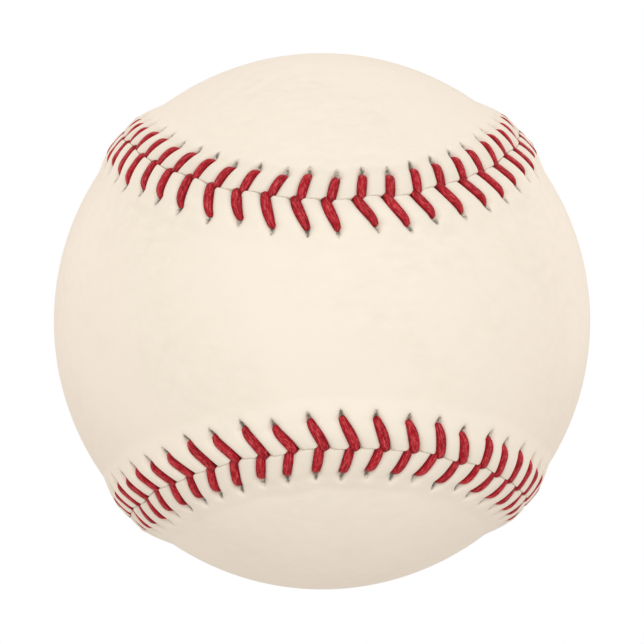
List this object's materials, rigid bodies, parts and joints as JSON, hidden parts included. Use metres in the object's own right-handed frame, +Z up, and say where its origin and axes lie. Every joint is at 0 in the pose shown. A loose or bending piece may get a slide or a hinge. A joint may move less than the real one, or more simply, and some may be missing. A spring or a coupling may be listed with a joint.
{
  "type": "baseball",
  "caption": "Hand-sewn ball: a cork and rubber pill wound with wool and cotton, in a cover of figure-eight leather panels laced together with red thread.",
  "frame": {"origin": "centre of the ball", "axes": "+Z up; the waist of the front panel faces -Y, midway between the seams above and below it; +X to the right of someone who looks at that waist"},
  "size_m": [0.0732, 0.0734, 0.0732],
  "materials": {
    "cork": "matt cork and rubber crumb",
    "black_rubber": "moulded, matt",
    "red_rubber": "moulded, matt",
    "grey_wool": "wound wool yarn",
    "white_wool": "wound wool yarn",
    "cotton": "wound cotton yarn",
    "leather": "smooth cream leather, slight sheen",
    "red_thread": "waxed, slight sheen"
  },
  "bodies": {
    "root": {"cork_core": "cork", "black_rubber_cup_rear": "black_rubber", "black_rubber_cup_front": "black_rubber", "sealing_washer": "red_rubber", "red_rubber_cup_rear": "red_rubber", "red_rubber_cup_front": "red_rubber", "first_wool_winding": "grey_wool", "second_wool_winding": "white_wool", "third_wool_winding": "grey_wool", "cotton_winding": "cotton", "cover_panel_front": "leather", "cover_panel_rear": "leather", "stitch_thread": "red_thread"}
  },
  "joints": []
}
